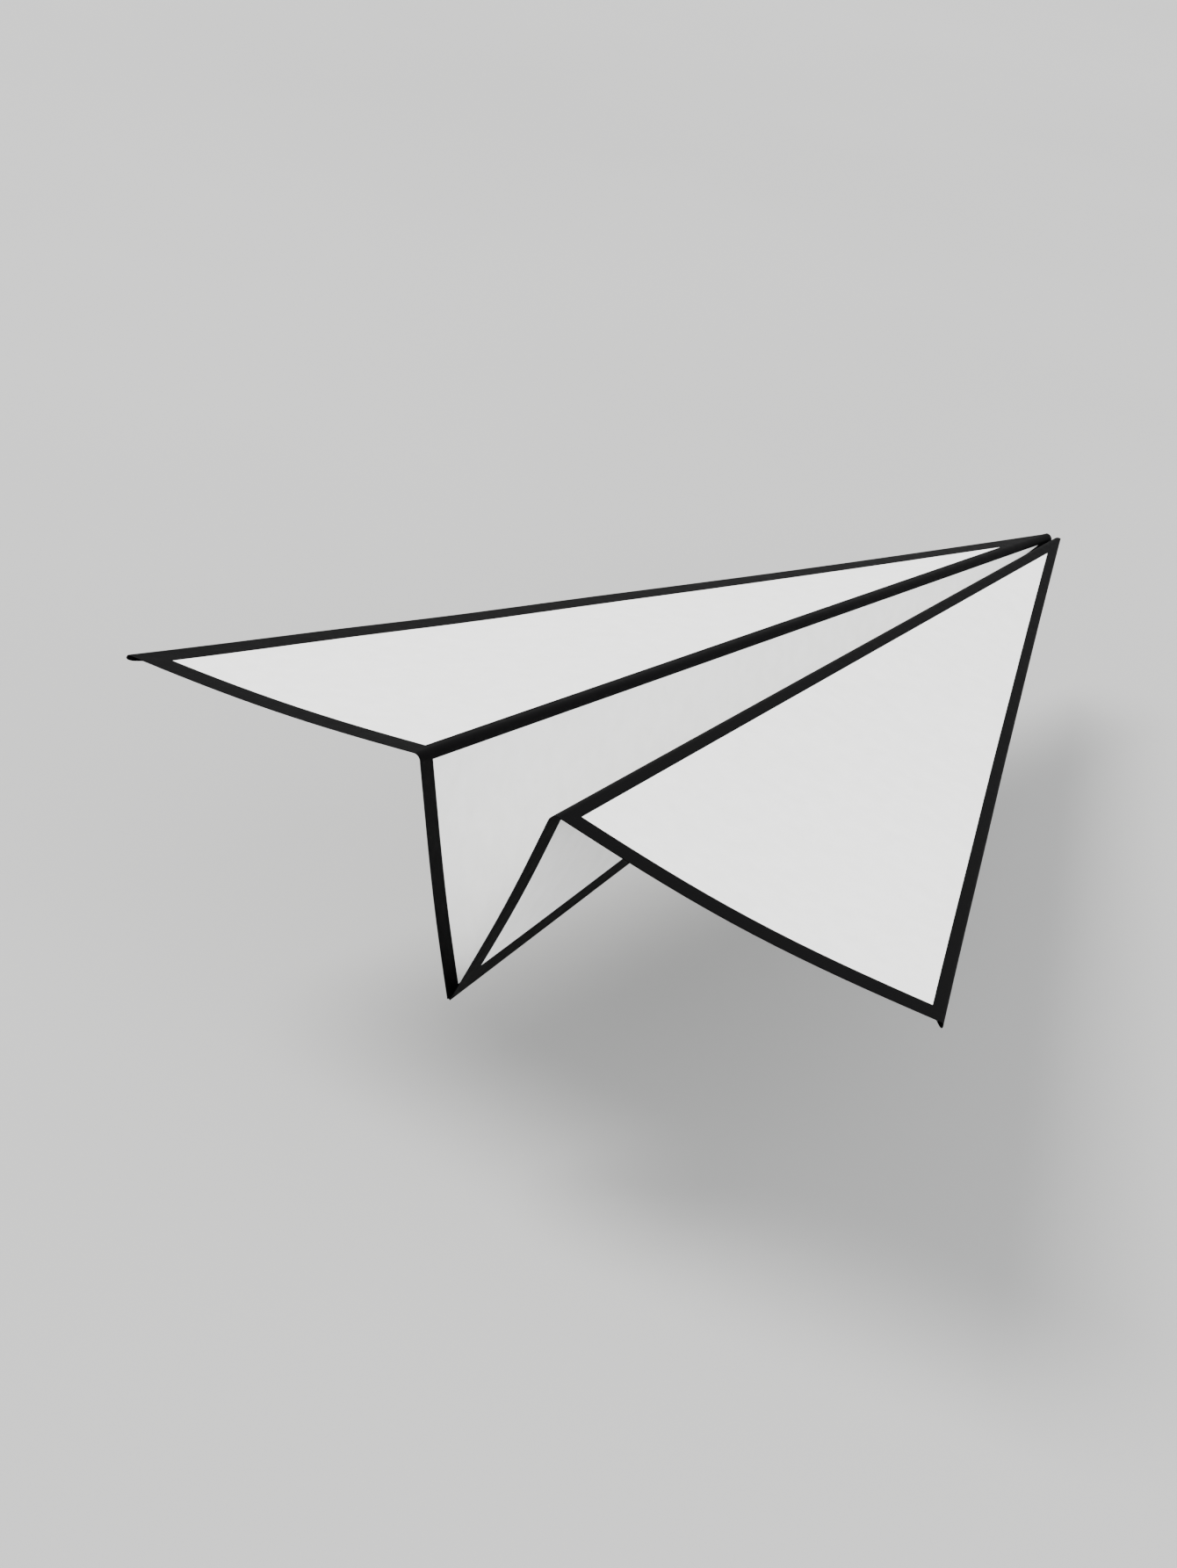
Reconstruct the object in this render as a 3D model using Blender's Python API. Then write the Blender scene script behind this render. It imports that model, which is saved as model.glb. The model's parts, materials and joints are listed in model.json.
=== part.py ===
"""A paper dart, folded from one Letter sheet.

Every crease of a dart meets at the nose, so a flat piece of the sheet is named by the two crease angles that
bound it. The sheet is folded in half along its centre line (angle 0), each front corner is folded to the
centre (crease at 45 degrees), each new edge is folded to the centre again (crease at 22.5 degrees, the
leading edge), and last the wings are folded along a crease that starts at the nose and reaches the tail
KEEL_DEPTH above the centre line. Both flaps lie on the outside, so four layers of paper are stacked near the
nose. From the channel outwards they are the panel, the corner flap's inner and outer half, and the outer flap.

Each piece is drawn in the closed dart: u runs back from the nose, v up from the keel line and w outwards
through the layers. Empties on the creases then open the keel and lower the wings. The two outer layers of the
keel are held by the wing crease alone, so they have an empty of their own there.

Metres and radians. +X is starboard, +Y is the way it flies and +Z is up. The origin is the middle of the
bottom of its box.
"""

import math

import bmesh
import bpy
from mathutils import Euler, Quaternion, Vector

MM = 0.001

# The sheet. Its two rear corners are trimmed off, so that each wing ends in a point.
SHEET_WIDTH = 215.9 * MM
SHEET_LENGTH = 279.4 * MM
PAPER = 0.1 * MM

# How it is folded, and how far it stands open at rest.
KEEL_DEPTH = 42.6 * MM
KEEL_HALF_ANGLE = math.radians(16.5)
WING_FOLD = math.radians(82.5)

# Air between two layers, and between two pieces that meet at a crease.
GAP = 0.3 * MM
HALF_GAP = GAP / 2

# A folded edge starts this far from the nose, where the stack is wide enough to hold it.
FOLD_START = 12.0 * MM
FOLD_ARC_STEPS = 8

# Crease angles at the nose, measured on the sheet from its centre line.
CENTRE = 0.0
WING_CREASE = math.atan2(KEEL_DEPTH, SHEET_LENGTH)
LEADING_EDGE = math.pi / 8
CORNER_CREASE = math.pi / 4
CORNER_SECOND_CREASE = 3 * math.pi / 8
FRONT_EDGE = math.pi / 2

# The stack of layers.
LAYERS = ("panel", "corner_inner", "corner_outer", "outer_flap")
PITCH = PAPER + GAP
STACK = PAPER + PITCH * (len(LAYERS) - 1)
WING_HINGE_OUT = HALF_GAP + STACK + HALF_GAP

# Folded edges: the outside radius of each, from the layers that it joins.
LEADING_FOLD_RADIUS = STACK / 2
INSIDE_FOLD_RADIUS = PAPER + GAP / 2

# How far a layer's edge stands back from the crease that it ends at.
LEADING_MARGIN = LEADING_FOLD_RADIUS + GAP
FLAP_KEEL_MARGIN = HALF_GAP + INSIDE_FOLD_RADIUS + GAP


def layer_out(layer):
    """Distance of a layer's channel side from the closed dart's middle plane."""
    return HALF_GAP + PITCH * LAYERS.index(layer)


def clear_scene():
    for thing in list(bpy.data.objects):
        bpy.data.objects.remove(thing, do_unlink=True)


def paper_material(name, colour, roughness):
    material = bpy.data.materials.new(name)
    material.use_nodes = True
    shader = material.node_tree.nodes["Principled BSDF"]
    shader.inputs["Base Color"].default_value = (*colour, 1.0)
    shader.inputs["Roughness"].default_value = roughness
    shader.inputs["Metallic"].default_value = 0.0
    return material


def sheet_reach(angle):
    """How far the sheet extends from the nose along a line at this angle to its centre line."""
    to_side = SHEET_WIDTH / 2 / max(math.sin(angle), 1e-9)
    to_rear = SHEET_LENGTH / max(math.cos(angle), 1e-9)
    return min(to_side, to_rear)


def folded_angle(sheet_angle):
    """Where a line of the sheet lies once both flaps are folded, as an angle up from the keel line."""
    if sheet_angle <= LEADING_EDGE:
        return sheet_angle
    if sheet_angle <= CORNER_CREASE:
        return CORNER_CREASE - sheet_angle
    if sheet_angle <= CORNER_SECOND_CREASE:
        return sheet_angle - CORNER_CREASE
    return FRONT_EDGE - sheet_angle


def on_line(angle, reach):
    return Vector((reach * math.cos(angle), reach * math.sin(angle)))


def wedge(first, last, trimmed=False):
    """The part of the sheet between two creases, as (u, v) corners in the closed dart.

    A trimmed wedge is cut straight from one crease's end to the other's, and loses the sheet's corner.
    """
    corner = math.atan2(SHEET_WIDTH / 2, SHEET_LENGTH)
    angles = [first, last]
    if not trimmed and min(first, last) < corner < max(first, last):
        angles.insert(1, corner)
    return [Vector((0.0, 0.0))] + [on_line(folded_angle(a), sheet_reach(a)) for a in angles]


def clip(outline, inward, distance):
    """The part of a convex outline at least this far inside a line through the nose."""
    kept = []
    for start, end in zip(outline, outline[1:] + outline[:1]):
        depth_start = start.dot(inward) - distance
        depth_end = end.dot(inward) - distance
        if depth_start >= 0:
            kept.append(start)
        if (depth_start >= 0) != (depth_end >= 0):
            kept.append(start.lerp(end, depth_start / (depth_start - depth_end)))
    return kept


def inset(outline, low_angle, low_margin, high_angle, high_margin):
    above_low = Vector((-math.sin(low_angle), math.cos(low_angle)))
    below_high = Vector((math.sin(high_angle), -math.cos(high_angle)))
    return clip(clip(outline, above_low, low_margin), below_high, high_margin)


def closed_dart(u, v, w, side, pivot):
    """A point of the closed dart, seen from the pivot that its piece turns on."""
    return Vector((side * w, -u, v)) - pivot


def add_piece(name, mesh_builder, material, hinge):
    mesh = bpy.data.meshes.new(name)
    shape = bmesh.new()
    mesh_builder(shape)
    bmesh.ops.recalc_face_normals(shape, faces=shape.faces)
    shape.to_mesh(mesh)
    shape.free()
    piece = bpy.data.objects.new(name, mesh)
    piece.data.materials.append(material)
    piece.parent = hinge
    bpy.context.scene.collection.objects.link(piece)
    return piece


def extrude_outline(shape, corners, along):
    """Close a flat outline into a solid by extruding it along a vector."""
    base = shape.faces.new([shape.verts.new(corner) for corner in corners])
    grown = bmesh.ops.extrude_face_region(shape, geom=[base], use_keep_orig=True)
    moved = [item for item in grown["geom"] if isinstance(item, bmesh.types.BMVert)]
    bmesh.ops.translate(shape, verts=moved, vec=along)


def add_panel(name, outline, layer, side, pivot, material, hinge):
    """One flat piece of a layer: its outline in the closed dart, as thick as the paper."""
    out = layer_out(layer)

    def build(shape):
        corners = [closed_dart(u, v, out, side, pivot) for u, v in outline]
        extrude_outline(shape, corners, Vector((side * PAPER, 0.0, 0.0)))

    return add_piece(name, build, material, hinge)


def add_folded_edge(name, angle, inward, edge_in, first_layer, last_layer, reach, side, pivot, material, hinge):
    """The half-round turn of paper that joins two layers along a crease.

    edge_in is how far the turn's outermost line stands inside the crease's own line.
    """
    inner_face = layer_out(first_layer)
    outer_face = layer_out(last_layer) + PAPER
    radius = (outer_face - inner_face) / 2
    middle = (outer_face + inner_face) / 2

    def arc(arc_radius, steps):
        for step in steps:
            turn = math.pi * (step / FOLD_ARC_STEPS - 0.5)
            yield edge_in + radius - arc_radius * math.cos(turn), middle + arc_radius * math.sin(turn)

    def build(shape):
        start = on_line(angle, FOLD_START)
        steps = range(FOLD_ARC_STEPS + 1)
        section = list(arc(radius, steps)) + list(arc(radius - PAPER, reversed(steps)))
        corners = []
        for inside, out in section:
            place = start + inward * inside
            corners.append(closed_dart(place.x, place.y, out, side, pivot))
        end = on_line(angle, reach) - start
        extrude_outline(shape, corners, Vector((0.0, -end.x, end.y)))

    piece = add_piece(name, build, material, hinge)
    piece.data.shade_smooth()
    piece.data.set_sharp_from_angle(angle=math.radians(35))
    return piece


def add_empty(name, parent=None, location=(0.0, 0.0, 0.0)):
    empty = bpy.data.objects.new(name, None)
    empty.parent = parent
    empty.location = location
    bpy.context.scene.collection.objects.link(empty)
    return empty


def build_keel(label, side, hinge, paper):
    """The keel's two inner layers, which turn on the keel crease."""
    pivot = Vector((0.0, 0.0, 0.0))
    wedges = {
        "panel": (CENTRE, WING_CREASE),
        "corner_inner": (FRONT_EDGE, FRONT_EDGE - WING_CREASE),
    }
    for layer, (first, last) in wedges.items():
        outline = inset(wedge(first, last), CENTRE, HALF_GAP, WING_CREASE, HALF_GAP)
        add_panel(f"{label}_keel_{layer}", outline, layer, side, pivot, paper, hinge)


def build_keel_flap(label, side, hinge, pivot, paper):
    """The keel's two outer layers, joined to each other at the keel line and to the wing at its crease."""
    wedges = {
        "corner_outer": (CORNER_CREASE, CORNER_CREASE + WING_CREASE),
        "outer_flap": (CORNER_CREASE, CORNER_CREASE - WING_CREASE),
    }
    for layer, (first, last) in wedges.items():
        outline = inset(wedge(first, last), CENTRE, FLAP_KEEL_MARGIN, WING_CREASE, HALF_GAP)
        add_panel(f"{label}_keel_{layer}", outline, layer, side, pivot, paper, hinge)
    add_folded_edge(f"{label}_keel_flap_fold", CENTRE, Vector((0.0, 1.0)), HALF_GAP, *wedges,
                    sheet_reach(CORNER_CREASE), side, pivot, paper, hinge)


def build_wing(label, side, hinge, pivot, paper):
    """The pieces beyond the wing crease, out to the leading edge."""
    wedges = {
        "panel": (WING_CREASE, LEADING_EDGE),
        "corner_inner": (FRONT_EDGE - WING_CREASE, CORNER_SECOND_CREASE),
        "corner_outer": (CORNER_CREASE + WING_CREASE, CORNER_SECOND_CREASE),
        "outer_flap": (CORNER_CREASE - WING_CREASE, LEADING_EDGE),
    }
    for layer, (first, last) in wedges.items():
        whole = wedge(first, last, trimmed=layer == "panel")
        outline = inset(whole, WING_CREASE, HALF_GAP, LEADING_EDGE, LEADING_MARGIN)
        add_panel(f"{label}_wing_{layer}", outline, layer, side, pivot, paper, hinge)
    inward = Vector((math.sin(LEADING_EDGE), -math.cos(LEADING_EDGE)))
    add_folded_edge(f"{label}_leading_edge_fold", LEADING_EDGE, inward, 0.0, "panel", "outer_flap",
                    sheet_reach(LEADING_EDGE), side, pivot, paper, hinge)
    add_folded_edge(f"{label}_leading_edge_inner_fold", LEADING_EDGE, inward,
                    LEADING_FOLD_RADIUS - INSIDE_FOLD_RADIUS, "corner_inner", "corner_outer",
                    sheet_reach(CORNER_SECOND_CREASE), side, pivot, paper, hinge)


def build_half(label, side, base, paper):
    """One half of the dart: side is +1 to starboard and -1 to port."""
    keel_hinge = add_empty(f"{label}_keel_axis", base)
    keel_hinge.rotation_euler = Euler((0.0, side * KEEL_HALF_ANGLE, 0.0))
    build_keel(label, side, keel_hinge, paper)

    pivot = Vector((side * WING_HINGE_OUT, 0.0, 0.0))
    flap_hinge = add_empty(f"{label}_keel_flap_axis", keel_hinge, pivot)
    build_keel_flap(label, side, flap_hinge, pivot, paper)
    wing_hinge = add_empty(f"{label}_wing_axis", keel_hinge, pivot)
    wing_hinge.rotation_mode = "QUATERNION"
    crease = Vector((0.0, math.cos(WING_CREASE), -math.sin(WING_CREASE)))
    wing_hinge.rotation_quaternion = Quaternion(crease, side * WING_FOLD)
    build_wing(label, side, wing_hinge, pivot, paper)


def stand_on_origin(base):
    """Move the whole dart so that the middle of the bottom of its box is the origin."""
    bpy.context.view_layer.update()
    corners = []
    for piece in bpy.data.objects:
        if piece.type == "MESH":
            corners += [piece.matrix_world @ vertex.co for vertex in piece.data.vertices]
    low = Vector([min(corner[i] for corner in corners) for i in range(3)])
    high = Vector([max(corner[i] for corner in corners) for i in range(3)])
    base.location = (-(low.x + high.x) / 2, -(low.y + high.y) / 2, -low.z)
    bpy.context.view_layer.update()


def main():
    clear_scene()
    paper = paper_material("white_paper", (0.90, 0.90, 0.89), 0.85)
    base = add_empty("dart")
    build_half("left", -1, base, paper)
    build_half("right", 1, base, paper)
    stand_on_origin(base)


main()
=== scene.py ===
"""The looks of the paper dart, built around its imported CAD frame."""

import json
import math

import bmesh
import bpy
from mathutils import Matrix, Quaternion, Vector, geometry, noise


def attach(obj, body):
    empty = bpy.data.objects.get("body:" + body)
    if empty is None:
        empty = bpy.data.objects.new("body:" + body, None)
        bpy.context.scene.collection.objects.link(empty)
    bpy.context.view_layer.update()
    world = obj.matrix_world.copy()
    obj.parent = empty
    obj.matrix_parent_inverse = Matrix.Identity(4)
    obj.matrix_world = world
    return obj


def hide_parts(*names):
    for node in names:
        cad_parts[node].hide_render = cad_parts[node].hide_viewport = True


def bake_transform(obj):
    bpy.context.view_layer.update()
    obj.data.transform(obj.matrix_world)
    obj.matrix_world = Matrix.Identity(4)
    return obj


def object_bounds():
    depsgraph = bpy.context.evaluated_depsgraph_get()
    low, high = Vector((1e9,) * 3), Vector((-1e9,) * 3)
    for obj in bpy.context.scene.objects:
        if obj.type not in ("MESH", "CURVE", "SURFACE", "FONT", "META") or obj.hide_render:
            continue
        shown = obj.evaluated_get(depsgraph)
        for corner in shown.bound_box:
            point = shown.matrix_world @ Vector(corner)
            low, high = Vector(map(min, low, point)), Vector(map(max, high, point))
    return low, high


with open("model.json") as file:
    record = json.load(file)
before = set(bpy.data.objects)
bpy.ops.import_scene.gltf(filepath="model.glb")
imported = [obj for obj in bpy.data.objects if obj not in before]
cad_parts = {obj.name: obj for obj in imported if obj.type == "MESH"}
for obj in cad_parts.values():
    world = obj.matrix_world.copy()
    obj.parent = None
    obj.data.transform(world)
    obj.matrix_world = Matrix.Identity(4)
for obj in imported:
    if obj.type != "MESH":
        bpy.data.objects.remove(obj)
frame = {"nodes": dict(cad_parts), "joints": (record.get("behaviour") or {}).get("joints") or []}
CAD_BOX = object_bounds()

MM = 0.001
SIDES = ("left", "right")

# Ink lines, as widths on the paper, in from the edge or crease that they follow. They differ from side to
# side so that the lines look nearly equal from the camera, which sees the two wings at different slants.
INK_LEADING = {"left": 6.0 * MM, "right": 2.5 * MM}
INK_TRAILING = {"left": 4.9 * MM, "right": 4.5 * MM}
INK_WING_CREASE = {"left": 1.0 * MM, "right": 1.8 * MM}
INK_KEEL_CREASE = 0.1 * MM
INK_KEEL_INSIDE = 3.6 * MM
INK_KEEL_BOTTOM = 5.4 * MM
INK_KEEL_REAR = 5.8 * MM
INK_KEEL_FLOOR = 1.2 * MM
INK_FLAP_EDGE = 3.0 * MM

# How far the paper gives between its creases. Each panel bows outwards, which is downwards on a wing.
BOW_ALONG = {"left": 0.8 * MM, "right": 1.4 * MM}
BOW_TRAILING = {"left": 1.1 * MM, "right": 2.0 * MM}
KEEL_BULGE = 0.7 * MM
RIPPLE = 0.25 * MM
RIPPLE_LENGTH = 45.0 * MM
RIPPLE_SEED = {("left", "wing"): 3.7, ("right", "wing"): 9.1, ("left", "keel"): 5.3, ("right", "keel"): 1.9}

# Mesh density.
BORDER_STEP = 4.0 * MM
GRID_STEP = 6.0 * MM
CLEAR_OF_LINES = 1.5 * MM
ARC_STEPS = 10
CREASE_STEPS = 60

# Reading a panel's outline: how close to the nose an edge's line passes if it runs from there, the length
# below which an edge counts as free, how close two points are one corner, and how small a bend is dropped.
NEAR_NOSE = 4.0 * MM
SHORT_EDGE = 1.0 * MM
SAME_CORNER = 0.05 * MM
OFF_LINE = 0.01 * MM

# The nose: how far from it the keel's panels start, how far the leading edges and wing creases start, and the
# rows in which a leading edge grows to its full width.
NOSE_TRIM = 2.2 * MM
NOSE_START = 1.2 * MM
NOSE_STEPS = 4

# Where panels and folded edges meet: how far a panel's edge stands inside the leading edge, and how far back
# a folded edge has its full width. That is measured from its panel's front corner, and for the inner fold
# from the leading fold.
FOLD_MARGIN = 0.95 * MM
LEADING_FOLD_START = 0.1 * MM
INNER_FOLD_START = 3.0 * MM
FLAP_FOLD_START = 1.5 * MM

# The camera: it looks from behind and above on the starboard side, and leans a little to port.
CAMERA_AZIMUTH = math.radians(25.39)
CAMERA_ELEVATION = math.radians(28.98)
CAMERA_LEAN = math.radians(10.75)
CAMERA_DISTANCE = 535.8 * MM
CAMERA_AIM = Vector((-31.1, -35.3, -13.4)) * MM
SENSOR_WIDTH = 36.0
CAMERA_LENS = 59.9106236178682

# The stage, in metres.
FLOOR_BELOW = 42.0 * MM
FLOOR_HALF = 20.0
CLIP_START = 0.01
CLIP_END = 50.0


# ---------------------------------------------------------------- the frame, as flat stretches of paper

def cad_points(node):
    return [vertex.co.copy() for vertex in frame["nodes"][node].data.vertices]


def centroid(points):
    return sum(points, Vector()) / len(points)


def joint(name):
    return next(j for j in frame["joints"] if j["name"] == name)


class Stretch:
    """A flat stretch of the dart: u runs back from the nose, v away from its hinge and w outwards."""

    def __init__(self, side, part, origin, along, panel, outermost, bow):
        self.side = side
        self.part = part
        self.origin = origin
        self.along = along.normalized()
        inner, outer = centroid(cad_points(panel)), centroid(cad_points(outermost))
        face = max(frame["nodes"][panel].data.polygons, key=lambda polygon: polygon.area)
        normal = face.normal - self.along * face.normal.dot(self.along)
        self.out = normal.normalized() * (1 if normal.dot(outer - inner) > 0 else -1)
        across = self.out.cross(self.along)
        self.across = across * (1 if across.dot(inner - origin) > 0 else -1)
        self.bow = bow

    def flat(self, point):
        """A point of the frame as (u, v, w)."""
        offset = point - self.origin
        return Vector((offset.dot(self.along), offset.dot(self.across), offset.dot(self.out)))

    def place(self, u, v, w):
        """Where (u, v, w) lies once the paper has given a little."""
        return (self.origin + self.along * u + self.across * v
                + self.out * (w + self.bow(u, v)))

    def outline(self, node):
        """A flat node's outline as (u, v) corners, and the w of its two faces."""
        points = [self.flat(point) for point in cad_points(node)]
        pairs = [point.xy for point in points]
        corners = [pairs[i] for i in geometry.convex_hull_2d(pairs)]
        tidy = []
        for corner in corners:
            if not tidy or (corner - tidy[-1]).length > SAME_CORNER:
                tidy.append(corner)
        if (tidy[0] - tidy[-1]).length <= SAME_CORNER:
            tidy.pop()
        tidy = straighten(tidy)
        if self.part == "keel":
            tidy = clip(tidy, Vector((NOSE_TRIM, 0.0)), Vector((1.0, 0.0)), 0.0)
        return tidy, min(p.z for p in points), max(p.z for p in points)


def straighten(corners):
    """Drop corners that lie on the straight line between their neighbours."""
    kept = []
    count = len(corners)
    for i, corner in enumerate(corners):
        before, after = corners[i - 1], corners[(i + 1) % count]
        span = after - before
        offset = abs(span.x * (corner.y - before.y) - span.y * (corner.x - before.x)) / span.length
        if offset > OFF_LINE:
            kept.append(corner)
    return kept


def wing_bow(side, tip):
    reach = tip.length
    spread = math.atan2(tip.y, tip.x)
    seed = RIPPLE_SEED[side, "wing"]

    def bow(u, v):
        along = min(max(math.hypot(u, v) / reach, 0.0), 1.0)
        across = min(max(math.atan2(v, u) / spread, 0.0), 1.0) if u > 0 else 0.0
        sag = BOW_ALONG[side] * 4 * along * (1 - along) * across ** 1.5
        sag += BOW_TRAILING[side] * math.sin(math.pi * across) * along ** 3
        sag += RIPPLE * noise.noise(Vector((u / RIPPLE_LENGTH, v / RIPPLE_LENGTH, seed))) * across * along
        return sag

    return bow


def keel_bow(side, top):
    reach = top.length
    spread = math.atan2(top.y, top.x)
    seed = RIPPLE_SEED[side, "keel"]

    def bow(u, v):
        along = min(max(math.hypot(u, v) / reach, 0.0), 1.0)
        across = min(max(math.atan2(v, u) / spread, 0.0), 1.0) if u > 0 else 0.0
        held = math.sin(math.pi * across)
        bulge = KEEL_BULGE * held * along * math.sin(math.pi * min(along * 0.8, 1.0))
        bulge += RIPPLE * held * along * noise.noise(Vector((u / RIPPLE_LENGTH, v / RIPPLE_LENGTH, seed)))
        return bulge

    return bow


def make_stretch(side, part):
    hinge = joint(f"{side}_wing_fold")
    crease = Vector(hinge["axis"])
    if crease.y > 0:
        crease = -crease
    if part == "keel":
        nose = Vector(joint("keel_fold")["pos_m"])
        nose.y = hinge["pos_m"][1]
        stretch = Stretch(side, part, nose, Vector((0.0, -1.0, 0.0)), f"{side}_keel_panel",
                          f"{side}_keel_outer_flap", None)
        corner = max((stretch.flat(p).xy for p in cad_points(f"{side}_keel_panel")), key=lambda c: c.y)
        stretch.bow = keel_bow(side, corner)
    else:
        stretch = Stretch(side, part, Vector(hinge["pos_m"]), crease, f"{side}_wing_panel",
                          f"{side}_wing_outer_flap", None)
        corner = max((stretch.flat(p).xy for p in cad_points(f"{side}_wing_panel")), key=lambda c: c.y)
        stretch.bow = wing_bow(side, corner)
    return stretch


# ---------------------------------------------------------------- materials

def new_material(name):
    material = bpy.data.materials.new(name)
    material.use_nodes = True
    nodes = material.node_tree.nodes
    return material, nodes, material.node_tree.links, nodes["Principled BSDF"]


def noise_node(nodes, links, coordinate, scale, detail, roughness=0.5):
    texture = nodes.new("ShaderNodeTexNoise")
    texture.inputs["Scale"].default_value = scale
    texture.inputs["Detail"].default_value = detail
    texture.inputs["Roughness"].default_value = roughness
    links.new(coordinate, texture.inputs["Vector"])
    return texture


def ramp_node(nodes, links, source, stops):
    ramp = nodes.new("ShaderNodeValToRGB")
    elements = ramp.color_ramp.elements
    while len(elements) < len(stops):
        elements.new(0.5)
    for element, (position, colour) in zip(elements, stops):
        element.position = position
        element.color = (*colour, 1.0)
    links.new(source, ramp.inputs["Fac"])
    return ramp


def bump_node(nodes, links, height, distance, strength, under=None):
    bump = nodes.new("ShaderNodeBump")
    bump.inputs["Distance"].default_value = distance
    bump.inputs["Strength"].default_value = strength
    links.new(height, bump.inputs["Height"])
    if under is not None:
        links.new(under.outputs["Normal"], bump.inputs["Normal"])
    return bump


def paper_material():
    """Uncoated white writing paper: cloudy formation, short fibres and a fine tooth."""
    material, nodes, links, shader = new_material("white_paper")
    place = nodes.new("ShaderNodeTexCoord").outputs["Object"]
    clouds = noise_node(nodes, links, place, 260.0, 4.0)
    fibres = noise_node(nodes, links, place, 1900.0, 6.0, 0.65)
    tooth = noise_node(nodes, links, place, 5200.0, 3.0, 0.6)
    tone = ramp_node(nodes, links, clouds.outputs["Fac"],
                     [(0.30, (0.90, 0.90, 0.89)), (0.70, (0.95, 0.95, 0.945))])
    fleck = ramp_node(nodes, links, fibres.outputs["Fac"],
                      [(0.28, (0.90, 0.895, 0.885)), (0.42, (1.0, 1.0, 1.0))])
    mix = nodes.new("ShaderNodeMix")
    mix.data_type = "RGBA"
    mix.blend_type = "MULTIPLY"
    mix.inputs["Factor"].default_value = 0.55
    links.new(tone.outputs["Color"], mix.inputs["A"])
    links.new(fleck.outputs["Color"], mix.inputs["B"])
    links.new(mix.outputs["Result"], shader.inputs["Base Color"])
    rough = nodes.new("ShaderNodeMapRange")
    rough.inputs["To Min"].default_value = 0.72
    rough.inputs["To Max"].default_value = 0.92
    links.new(fibres.outputs["Fac"], rough.inputs["Value"])
    links.new(rough.outputs["Result"], shader.inputs["Roughness"])
    coarse = bump_node(nodes, links, fibres.outputs["Fac"], 0.00010, 0.35)
    fine = bump_node(nodes, links, tooth.outputs["Fac"], 0.00005, 0.30, coarse)
    links.new(fine.outputs["Normal"], shader.inputs["Normal"])
    shader.inputs["Specular IOR Level"].default_value = 0.25
    return material


def ink_material():
    """Matt black ink that has soaked in: the paper's tooth shows, and a few fibres stay lighter."""
    material, nodes, links, shader = new_material("black_ink")
    place = nodes.new("ShaderNodeTexCoord").outputs["Object"]
    pools = noise_node(nodes, links, place, 420.0, 4.0)
    fibres = noise_node(nodes, links, place, 2600.0, 6.0, 0.7)
    tone = ramp_node(nodes, links, pools.outputs["Fac"],
                     [(0.30, (0.0004, 0.0004, 0.0005)), (0.75, (0.0018, 0.0018, 0.002))])
    missed = ramp_node(nodes, links, fibres.outputs["Fac"],
                       [(0.70, (0.0, 0.0, 0.0)), (0.82, (0.02, 0.02, 0.02))])
    mix = nodes.new("ShaderNodeMix")
    mix.data_type = "RGBA"
    mix.blend_type = "ADD"
    mix.inputs["Factor"].default_value = 1.0
    links.new(tone.outputs["Color"], mix.inputs["A"])
    links.new(missed.outputs["Color"], mix.inputs["B"])
    links.new(mix.outputs["Result"], shader.inputs["Base Color"])
    rough = nodes.new("ShaderNodeMapRange")
    rough.inputs["To Min"].default_value = 0.55
    rough.inputs["To Max"].default_value = 0.80
    links.new(pools.outputs["Fac"], rough.inputs["Value"])
    links.new(rough.outputs["Result"], shader.inputs["Roughness"])
    tooth = bump_node(nodes, links, fibres.outputs["Fac"], 0.00008, 0.30)
    links.new(tooth.outputs["Normal"], shader.inputs["Normal"])
    shader.inputs["Specular IOR Level"].default_value = 0.03
    return material


def floor_material():
    material, nodes, links, shader = new_material("pale_floor")
    place = nodes.new("ShaderNodeTexCoord").outputs["Object"]
    clouds = noise_node(nodes, links, place, 3.0, 3.0)
    tone = ramp_node(nodes, links, clouds.outputs["Fac"],
                     [(0.35, (0.37, 0.37, 0.368)), (0.65, (0.395, 0.395, 0.393))])
    links.new(tone.outputs["Color"], shader.inputs["Base Color"])
    shader.inputs["Roughness"].default_value = 0.9
    return material


PAPER = paper_material()
INK = ink_material()
PAPER_SLOT, INK_SLOT = 0, 1


# ---------------------------------------------------------------- mesh building

def inward_of(corners, i):
    """The unit normal of one edge of a convex outline, pointing inside."""
    start, end = corners[i], corners[(i + 1) % len(corners)]
    along = (end - start).normalized()
    normal = Vector((-along.y, along.x))
    middle = sum(corners, Vector((0.0, 0.0))) / len(corners)
    return normal if normal.dot(middle - start) > 0 else -normal


def clip(outline, point, inward, distance):
    """The part of a convex outline at least this far inside a line."""
    kept = []
    for start, end in zip(outline, outline[1:] + outline[:1]):
        before = (start - point).dot(inward) - distance
        after = (end - point).dot(inward) - distance
        if before >= 0:
            kept.append(start)
        if (before >= 0) != (after >= 0):
            kept.append(start.lerp(end, before / (before - after)))
    return kept


def edge_roles(corners):
    """Which edges of a panel run from the nose, low or high, and which are free edges of the sheet."""
    roles = []
    middle = sum(corners, Vector((0.0, 0.0))) / len(corners)
    for i, start in enumerate(corners):
        inward = inward_of(corners, i)
        end = corners[(i + 1) % len(corners)]
        if abs(start.dot(inward)) > NEAR_NOSE or (end - start).length < SHORT_EDGE:
            roles.append("free")
            continue
        further = max(start, end, key=lambda c: c.length)
        low = further.y / further.x < middle.y / middle.x
        roles.append("low" if low else "high")
    return roles


def inner_outline(corners, widths):
    """What is left of a panel inside its ink lines."""
    inside = list(corners)
    for i, role in enumerate(edge_roles(corners)):
        inside = clip(inside, corners[i], inward_of(corners, i), widths[role])
    return inside


def subdivide(corners, step):
    points = []
    for start, end in zip(corners, corners[1:] + corners[:1]):
        pieces = max(1, math.ceil((end - start).length / step))
        points += [start.lerp(end, k / pieces) for k in range(pieces)]
    return points


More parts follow.
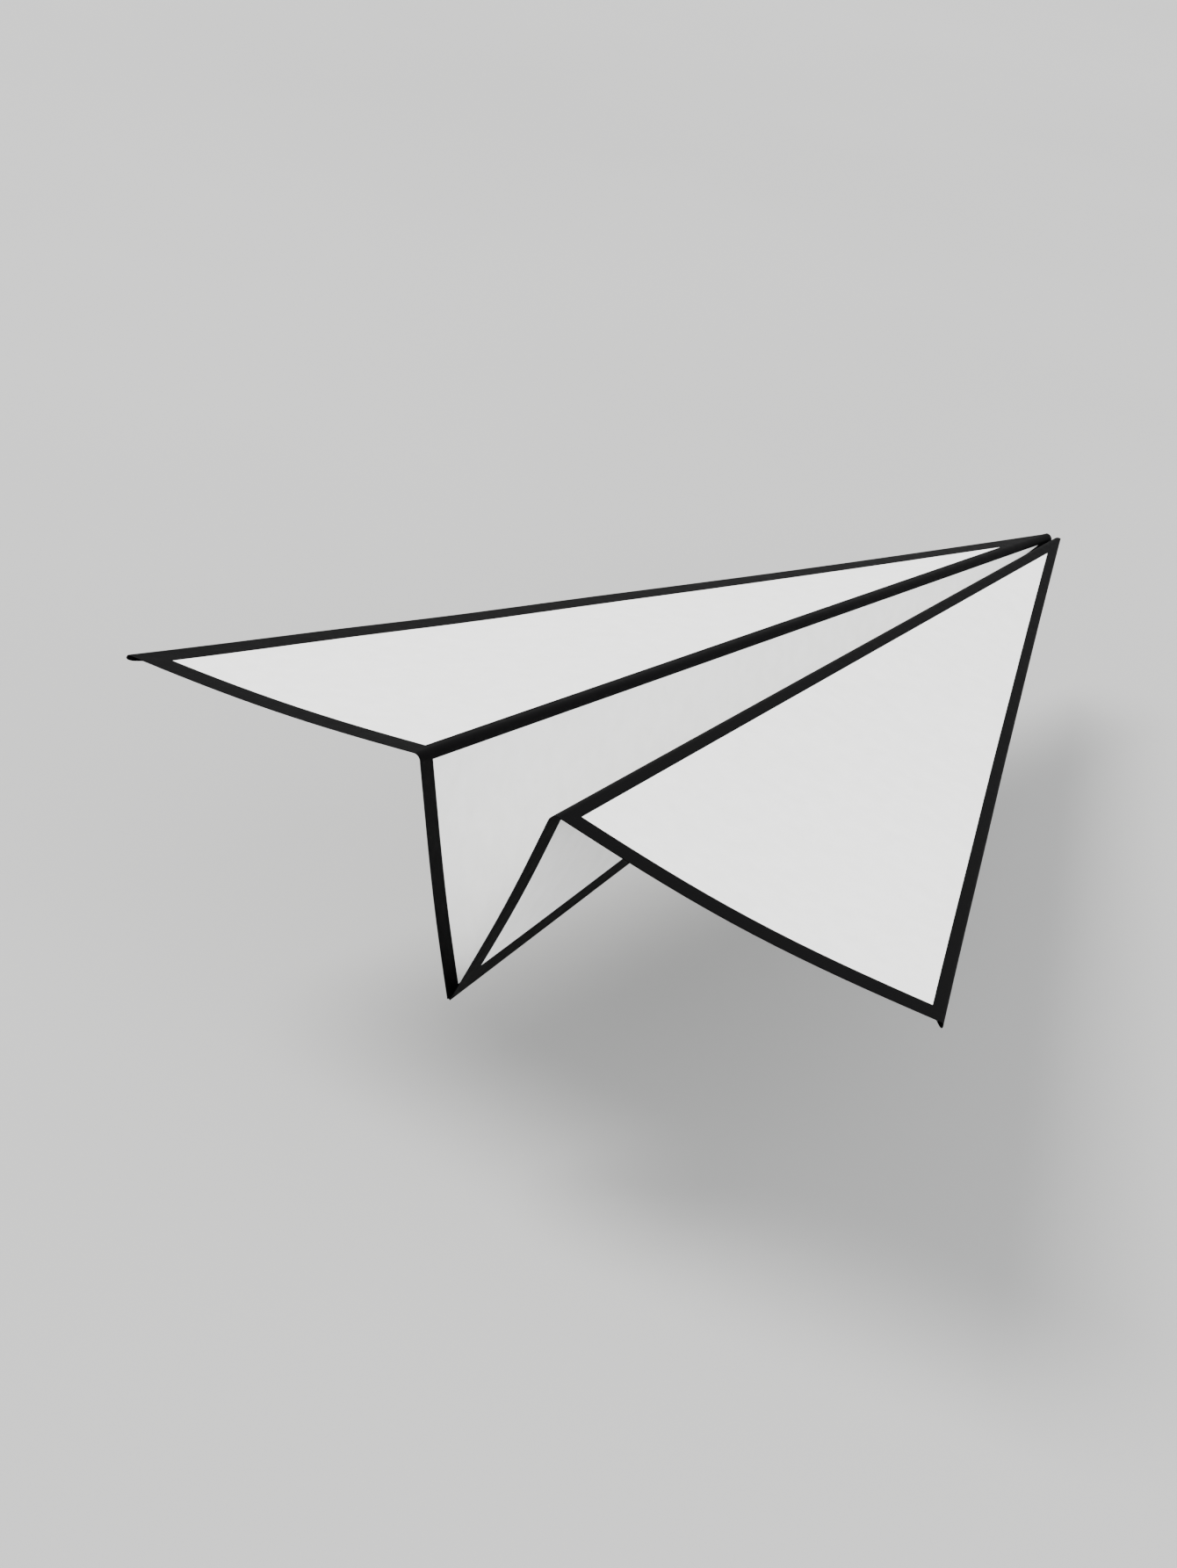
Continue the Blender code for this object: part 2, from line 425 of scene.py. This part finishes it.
def inside_by(corners, point):
    """How far a point lies inside a convex outline, negative outside it."""
    return min((point - corners[i]).dot(inward_of(corners, i)) for i in range(len(corners)))


def triangulate(border, inner, corners):
    """One face of a panel: its points, its triangles, and which of them are paper and not ink."""
    points = [point.copy() for point in border]
    edges = [(i, (i + 1) % len(border)) for i in range(len(border))]
    if inner:
        ring = subdivide(inner, BORDER_STEP)
        base = len(points)
        points += ring
        edges += [(base + i, base + (i + 1) % len(ring)) for i in range(len(ring))]
    low = Vector((min(c.x for c in corners), min(c.y for c in corners)))
    high = Vector((max(c.x for c in corners), max(c.y for c in corners)))
    rows = int((high.y - low.y) / GRID_STEP) + 1
    columns = int((high.x - low.x) / GRID_STEP) + 1
    for row in range(rows):
        for column in range(columns):
            shift = 0.5 * (row % 2)
            point = low + Vector(((column + shift) * GRID_STEP, (row + 0.5) * GRID_STEP))
            if inside_by(corners, point) < CLEAR_OF_LINES:
                continue
            if inner and abs(inside_by(inner, point)) < CLEAR_OF_LINES:
                continue
            points.append(point)
    made = geometry.delaunay_2d_cdt(points, edges, [], 1, 1e-9)
    out_points, out_faces, sources = made[0], made[2], made[3]
    index_of = {}
    for k, source in enumerate(sources):
        for original in source:
            index_of[original] = k
    is_paper = []
    for face in out_faces:
        middle = sum((out_points[i] for i in face), Vector((0.0, 0.0))) / len(face)
        is_paper.append(not inner or inside_by(inner, middle) > 0)
    return out_points, out_faces, is_paper, [index_of[i] for i in range(len(border))]


def finish_mesh(name, shape, sharp_degrees=40.0):
    bmesh.ops.recalc_face_normals(shape, faces=shape.faces)
    mesh = bpy.data.meshes.new(name)
    shape.to_mesh(mesh)
    shape.free()
    mesh.materials.append(PAPER)
    mesh.materials.append(INK)
    mesh.shade_smooth()
    mesh.set_sharp_from_angle(angle=math.radians(sharp_degrees))
    piece = bpy.data.objects.new(name, mesh)
    bpy.context.scene.collection.objects.link(piece)
    return piece


def panel_piece(stretch, node, body, channel_ink, outside_ink):
    """A flat node as real paper: gently bowed, with its ink lines on both faces."""
    corners, w_low, w_high = stretch.outline(node)
    border = subdivide(corners, BORDER_STEP)
    shape = bmesh.new()
    rims = []
    for w, widths in ((w_low, channel_ink), (w_high, outside_ink)):
        inner = inner_outline(corners, widths) if widths else None
        points, faces, is_paper, rim = triangulate(border, inner, corners)
        if widths and not inner:
            is_paper = [False] * len(faces)
        verts = [shape.verts.new(stretch.place(point.x, point.y, w)) for point in points]
        for face, paper in zip(faces, is_paper):
            made = shape.faces.new([verts[i] for i in face])
            made.material_index = PAPER_SLOT if paper else INK_SLOT
        rims.append([verts[i] for i in rim])
    inked = bool(channel_ink or outside_ink)
    count = len(border)
    for i in range(count):
        j = (i + 1) % count
        made = shape.faces.new([rims[0][i], rims[0][j], rims[1][j], rims[1][i]])
        made.material_index = INK_SLOT if inked else PAPER_SLOT
    piece = finish_mesh(f"{node}_sheet", shape)
    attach(piece, body)
    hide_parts(node)
    return piece


def skin(rows, name, inked):
    """A closed solid from rows of points, each row a closed ring."""
    shape = bmesh.new()
    rings = [[shape.verts.new(point) for point in row] for row in rows]
    slot = INK_SLOT if inked else PAPER_SLOT
    count = len(rings[0])
    for first, second in zip(rings, rings[1:]):
        for i in range(count):
            j = (i + 1) % count
            shape.faces.new([first[i], first[j], second[j], second[i]]).material_index = slot
    half = count // 2
    for ring in (rings[0], rings[-1]):
        # The section is a bent strip, so its end is closed quad by quad.
        for i in range(half - 1):
            quad = [ring[i], ring[i + 1], ring[count - 2 - i], ring[count - 1 - i]]
            shape.faces.new(quad).material_index = slot
    return finish_mesh(name, shape)


def rear_limit(stretch, node, role, direction, inward):
    """Where a panel's free edge crosses each depth inside its folded edge, as a function of the depth."""
    corners, _, _ = stretch.outline(node)
    i = edge_roles(corners).index(role)
    front, rear = sorted((corners[i], corners[(i + 1) % len(corners)]), key=lambda c: c.length)
    other = next(c for c in corners if c not in (front, rear))
    edge = other - rear
    slope = edge.dot(direction) / edge.dot(inward)
    return lambda depth: rear.dot(direction) + (depth - rear.dot(inward)) * slope


def folded_edge_piece(stretch, node, body, joined, role, start, inked, to_nose=False):
    """A folded edge as a smooth turn of paper, whose legs reach the two panels that it joins."""
    (front, rear), _, _ = panel_line(stretch, joined[0], role)
    direction = (rear - front).normalized()
    inward = Vector((direction.y, -direction.x)) * (1 if role == "high" else -1)
    panel_edge = front.dot(inward)
    flat = [stretch.flat(point) for point in cad_points(node)]
    w_low, w_high = min(p.z for p in flat), max(p.z for p in flat)
    outermost = min(point.xy.dot(inward) for point in flat)
    radius = (w_high - w_low) / 2
    middle = (w_high + w_low) / 2
    limits = [rear_limit(stretch, panel, role, direction, inward) for panel in joined]

    def path(size):
        yield panel_edge, middle - size
        for step in range(ARC_STEPS + 1):
            turn = math.pi * (step / ARC_STEPS - 0.5)
            yield outermost + radius - size * math.cos(turn), middle + size * math.sin(turn)
        yield panel_edge, middle + size

    section = list(path(radius)) + list(reversed(list(path(radius - PAPER_THICKNESS))))
    rows = []
    if to_nose:
        # In front of the panels the turn narrows with the wing, down to the nose.
        for step in range(NOSE_STEPS):
            distance = NOSE_START + (start - NOSE_START) * step / NOSE_STEPS
            width = min(1.0, distance * direction.y / direction.x / (panel_edge - outermost))
            row = []
            for depth, w in section:
                spot = direction * distance + inward * (outermost + (depth - outermost) * width)
                row.append(stretch.place(spot.x, spot.y, w))
            rows.append(row)
    steps = max(2, math.ceil((rear.dot(direction) - start) / BORDER_STEP))
    for step in range(steps + 1):
        row = []
        for depth, w in section:
            share = (w - w_low) / (w_high - w_low)
            limit = limits[0](depth) * (1 - share) + limits[1](depth) * share
            spot = direction * (start + (limit - start) * step / steps) + inward * depth
            row.append(stretch.place(spot.x, spot.y, w))
        rows.append(row)
    piece = skin(rows, f"{node}_sheet", inked)
    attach(piece, body)
    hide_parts(node)
    return piece


def crease_piece(name, hinge, first, second):
    """The bent paper of a crease that moves, from one panel's edge round the hinge to the other's.

    first and second are (start, end, through): the panel's edge line beside the hinge, front to rear, and the
    unit direction from that line through the thickness of the paper.
    """
    centre, axis = hinge
    rows = []
    for step in range(CREASE_STEPS + 1):
        share = step / CREASE_STEPS
        ring_out, ring_in = [], []
        ends = []
        for start, end, through in (first, second):
            outer = start.lerp(end, share)
            ends.append((outer, outer + through * PAPER_THICKNESS))
        for which, ring in ((0, ring_out), (1, ring_in)):
            a, b = ends[0][which], ends[1][which]
            foot_a = centre + axis * (a - centre).dot(axis)
            foot_b = centre + axis * (b - centre).dot(axis)
            arm_a, arm_b = a - foot_a, b - foot_b
            turn = arm_a.rotation_difference(arm_b)
            _, angle = turn.to_axis_angle()
            around = arm_a.cross(arm_b).normalized()
            for k in range(ARC_STEPS + 1):
                part = k / ARC_STEPS
                swing = Quaternion(around, angle * part)
                size = arm_a.length * (1 - part) + arm_b.length * part
                spot = foot_a.lerp(foot_b, part) + (swing @ arm_a).normalized() * size
                ring.append(spot)
        rows.append(ring_out + list(reversed(ring_in)))
    piece = skin(rows, name, True)
    start = centroid([rows[0][0], rows[0][-1], rows[-1][0], rows[-1][-1]])
    half = len(rows[0]) // 2
    end = centroid([rows[0][half - 1], rows[0][half], rows[-1][half - 1], rows[-1][half]])
    across = end - start
    across = across - axis * across.dot(axis)
    across.normalize()
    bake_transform(piece)
    return piece


# ---------------------------------------------------------------- the dart

def thickness_of(stretch, node):
    _, w_low, w_high = stretch.outline(node)
    return w_high - w_low


STRETCHES = {(side, part): make_stretch(side, part) for side in SIDES for part in ("keel", "wing")}
PAPER_THICKNESS = thickness_of(STRETCHES["left", "keel"], "left_keel_panel")


def panel_line(stretch, node, role):
    """The edge of a panel that runs from the nose, as its front and rear (u, v) corners."""
    corners, w_low, w_high = stretch.outline(node)
    i = edge_roles(corners).index(role)
    ends = sorted((corners[i], corners[(i + 1) % len(corners)]), key=lambda c: c.length)
    return ends, w_low, w_high


def build_wing(side):
    stretch = STRETCHES[side, "wing"]
    body = f"{side}_wing"
    panels = [f"{side}_wing_{name}" for name in ("panel", "corner_inner", "corner_outer", "outer_flap")]
    (front, _), _, _ = panel_line(stretch, panels[0], "high")
    on_panel = INK_LEADING[side] - FOLD_MARGIN
    wing = {"low": INK_WING_CREASE[side], "high": on_panel, "free": INK_TRAILING[side]}
    flap = {"low": INK_WING_CREASE[side], "high": on_panel, "free": INK_FLAP_EDGE}
    panel_piece(stretch, panels[0], body, wing, wing)
    panel_piece(stretch, panels[1], body, None, None)
    panel_piece(stretch, panels[2], body, None, None)
    panel_piece(stretch, panels[3], body, None, flap)
    start = front.length + LEADING_FOLD_START
    folded_edge_piece(stretch, f"{side}_leading_edge_fold", body, (panels[0], panels[3]), "high", start, True,
                      to_nose=True)
    folded_edge_piece(stretch, f"{side}_leading_edge_inner_fold", body, (panels[1], panels[2]), "high",
                      start + INNER_FOLD_START, False)


def build_keel(side):
    stretch = STRETCHES[side, "keel"]
    body, flap_body = f"{side}_keel", f"{side}_keel_flap"
    panels = [f"{side}_keel_{name}" for name in ("panel", "corner_inner", "corner_outer", "outer_flap")]
    channel = {"low": INK_KEEL_FLOOR, "high": INK_KEEL_CREASE, "free": INK_KEEL_INSIDE}
    outside = {"low": INK_KEEL_BOTTOM, "high": INK_KEEL_CREASE, "free": INK_KEEL_REAR}
    panel_piece(stretch, panels[0], body, channel, outside)
    panel_piece(stretch, panels[1], body, None, None)
    (front, _), _, _ = panel_line(stretch, panels[3], "low")
    flap = {"low": INK_KEEL_BOTTOM - front.y, "high": INK_KEEL_CREASE, "free": INK_FLAP_EDGE}
    panel_piece(stretch, panels[2], flap_body, None, None)
    panel_piece(stretch, panels[3], flap_body, None, flap)
    folded_edge_piece(stretch, f"{side}_keel_flap_fold", flap_body, (panels[2], panels[3]), "low",
                      front.length + FLAP_FOLD_START, True)


def build_wing_crease(side):
    keel, wing = STRETCHES[side, "keel"], STRETCHES[side, "wing"]
    hinge = joint(f"{side}_wing_fold")
    axis = wing.along
    lines = []
    for stretch, node, role in ((keel, f"{side}_keel_panel", "high"), (wing, f"{side}_wing_panel", "low")):
        (front, rear), w_low, _ = panel_line(stretch, node, role)
        lines.append([stretch.place(front.x, front.y, w_low),
                      stretch.place(rear.x, rear.y, w_low),
                      stretch.out])
    centre = Vector(hinge["pos_m"])
    for line in lines:
        line[0] = line[0] + axis * (NOSE_START - (line[0] - centre).dot(axis))
    crease_piece(f"{side}_wing_crease", (centre, axis), lines[0], lines[1])


def build_keel_crease():
    hinge = joint("keel_fold")
    centre = Vector(hinge["pos_m"])
    lines = []
    for side in SIDES:
        stretch = STRETCHES[side, "keel"]
        (front, rear), _, w_high = panel_line(stretch, f"{side}_keel_panel", "low")
        # It starts with the panels: closer to the nose, a wing folded upright would touch it.
        lines.append((stretch.place(front.x, front.y, w_high), stretch.place(rear.x, rear.y, w_high),
                      -stretch.out))
    crease_piece("keel_crease", (centre, Vector((0.0, -1.0, 0.0))), lines[0], lines[1])


for side in SIDES:
    build_wing(side)
    build_keel(side)
    build_wing_crease(side)
build_keel_crease()


# ---------------------------------------------------------------- stage, light and camera

def make_floor():
    shape = bmesh.new()
    bmesh.ops.create_grid(shape, x_segments=8, y_segments=8, size=FLOOR_HALF)
    mesh = bpy.data.meshes.new("floor")
    shape.to_mesh(mesh)
    shape.free()
    mesh.materials.append(floor_material())
    floor = bpy.data.objects.new("floor", mesh)
    floor.location = (0.0, 0.0, CAD_BOX[0].z - FLOOR_BELOW)
    bpy.context.scene.collection.objects.link(floor)


def soft_sun(name, direction, angle, strength, colour=(1.0, 1.0, 1.0)):
    data = bpy.data.lights.new(name, "SUN")
    data.angle = math.radians(angle)
    data.energy = strength
    data.color = colour
    light = bpy.data.objects.new(name, data)
    light.location = Vector(direction)
    light.rotation_mode = "QUATERNION"
    light.rotation_quaternion = (-Vector(direction)).to_track_quat("-Z", "Y")
    bpy.context.scene.collection.objects.link(light)


def make_lights():
    soft_sun("key", (-0.9, -0.5, 1.6), 28.0, 5.0, (1.0, 0.99, 0.97))
    soft_sun("fill", (1.2, -0.8, 0.9), 70.0, 2.0, (0.97, 0.985, 1.0))
    world = bpy.data.worlds.new("studio")
    world.use_nodes = True
    background = world.node_tree.nodes["Background"]
    background.inputs["Color"].default_value = (0.95, 0.955, 0.96, 1.0)
    background.inputs["Strength"].default_value = 1.4
    bpy.context.scene.world = world


def make_camera():
    data = bpy.data.cameras.new("camera")
    camera = bpy.data.objects.new("camera", data)
    bpy.context.scene.collection.objects.link(camera)
    back = Vector((math.sin(CAMERA_AZIMUTH) * math.cos(CAMERA_ELEVATION),
                   -math.cos(CAMERA_AZIMUTH) * math.cos(CAMERA_ELEVATION),
                   math.sin(CAMERA_ELEVATION)))
    camera.rotation_mode = "QUATERNION"
    level = (-back).to_track_quat("-Z", "Y")
    camera.rotation_quaternion = Quaternion(back, CAMERA_LEAN) @ level
    camera.location = CAMERA_AIM + back * CAMERA_DISTANCE
    data.sensor_width = SENSOR_WIDTH
    data.lens = CAMERA_LENS
    data.clip_start = CLIP_START
    data.clip_end = CLIP_END
    bpy.context.scene.camera = camera


make_floor()
make_lights()
make_camera()
